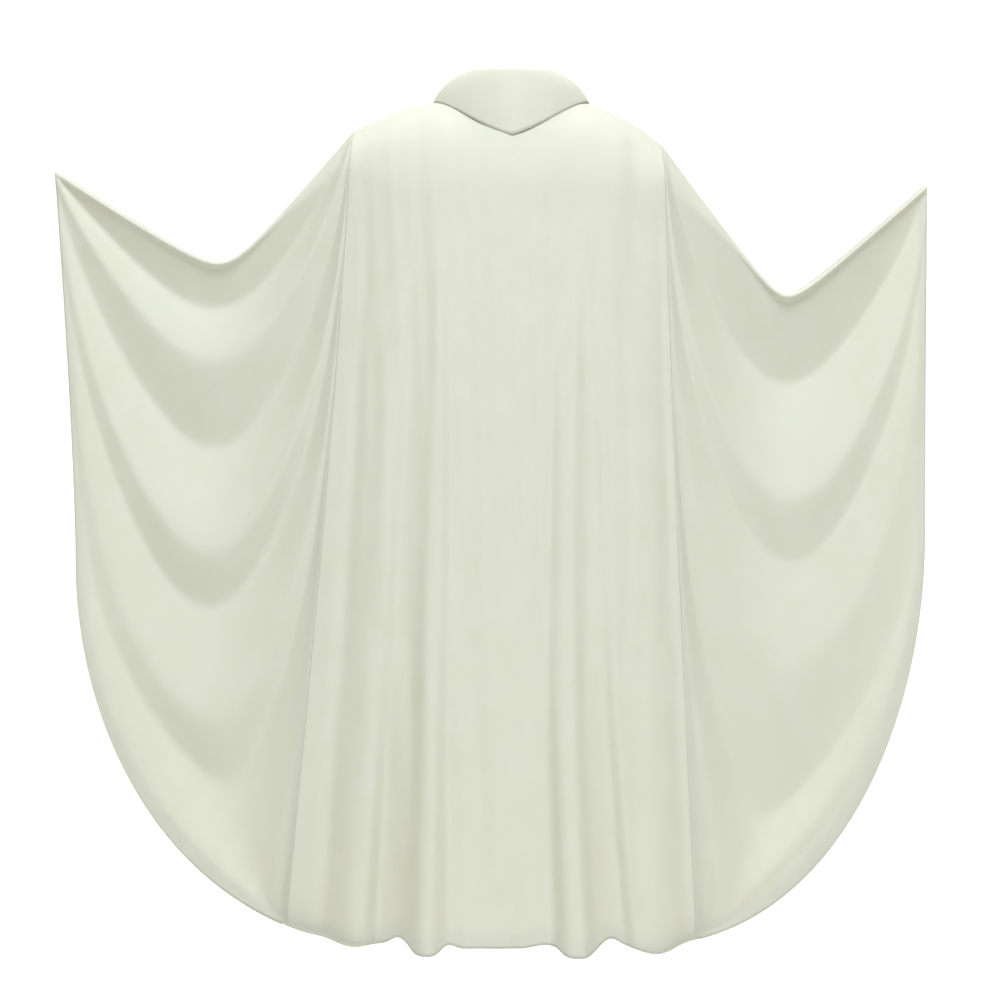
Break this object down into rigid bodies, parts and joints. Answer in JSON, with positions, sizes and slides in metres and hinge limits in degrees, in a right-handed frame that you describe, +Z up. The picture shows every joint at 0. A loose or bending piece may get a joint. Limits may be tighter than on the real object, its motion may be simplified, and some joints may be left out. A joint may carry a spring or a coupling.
{
  "type": "chasuble",
  "caption": "Wide sleeveless vestment with a fold-over pointed collar, hanging with its side wings lifted by the tips and soft upright folds down to a round hem.",
  "frame": {"origin": "middle of the neck opening, at the height where the neck seam meets the shoulder line", "axes": "+X to the wearer's left, +Y to the back, +Z up"},
  "size_m": [1.334, 0.4881, 1.3145],
  "materials": {
    "face_cloth": "matte, smooth lightweight crepe, ivory",
    "turned_cloth": "matte, the same cloth turned in",
    "interlining": "matte, white woven interlining"
  },
  "bodies": {
    "root": {"front_centre_panel": "face_cloth", "front_right_panel": "face_cloth", "front_left_panel": "face_cloth", "back_centre_panel": "face_cloth", "back_right_panel": "face_cloth", "back_left_panel": "face_cloth", "front_centre_hem_facing": "turned_cloth", "front_right_hem_facing": "turned_cloth", "front_left_hem_facing": "turned_cloth", "back_centre_hem_facing": "turned_cloth", "back_right_hem_facing": "turned_cloth", "back_left_hem_facing": "turned_cloth", "front_right_panel_seam": "turned_cloth", "front_left_panel_seam": "turned_cloth", "back_right_panel_seam": "turned_cloth", "back_left_panel_seam": "turned_cloth", "right_shoulder_seam": "turned_cloth", "left_shoulder_seam": "turned_cloth", "right_wing_seam": "turned_cloth", "left_wing_seam": "turned_cloth", "upper_collar": "face_cloth", "collar_interlining": "interlining", "under_collar": "turned_cloth", "neck_binding": "turned_cloth"}
  },
  "joints": []
}
